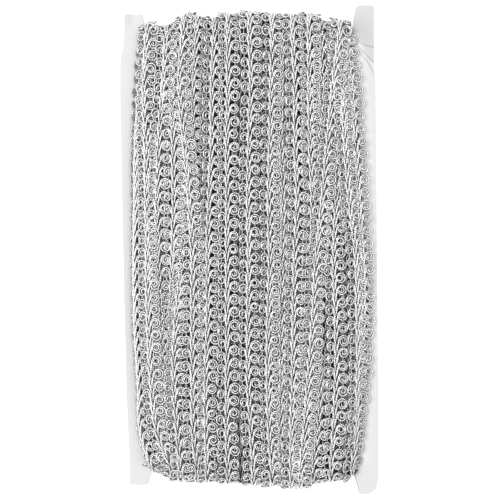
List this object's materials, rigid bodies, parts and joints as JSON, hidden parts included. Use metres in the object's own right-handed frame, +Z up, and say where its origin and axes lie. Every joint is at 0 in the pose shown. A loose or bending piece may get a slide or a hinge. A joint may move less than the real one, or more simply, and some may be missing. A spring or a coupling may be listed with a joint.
{
  "type": "wound gimp braid trim on a card",
  "caption": "Wavy-edged silver scroll gimp braid wound lengthways on a flat white card with notched ends; lies on its back.",
  "frame": {"origin": "middle of the footprint, on the surface that the winding's flattened back rests on", "axes": "+Y along the card towards its upper ears, +X across the turns to the right, +Z up out of the side that shows"},
  "size_m": [0.1164, 0.2201, 0.0203],
  "materials": {
    "card_white": "smooth white board, satin",
    "silver_thread": "twisted silver metallic thread, glinting"
  },
  "bodies": {
    "root": {"card": "card_white", "wound_trim": "silver_thread"}
  },
  "joints": []
}
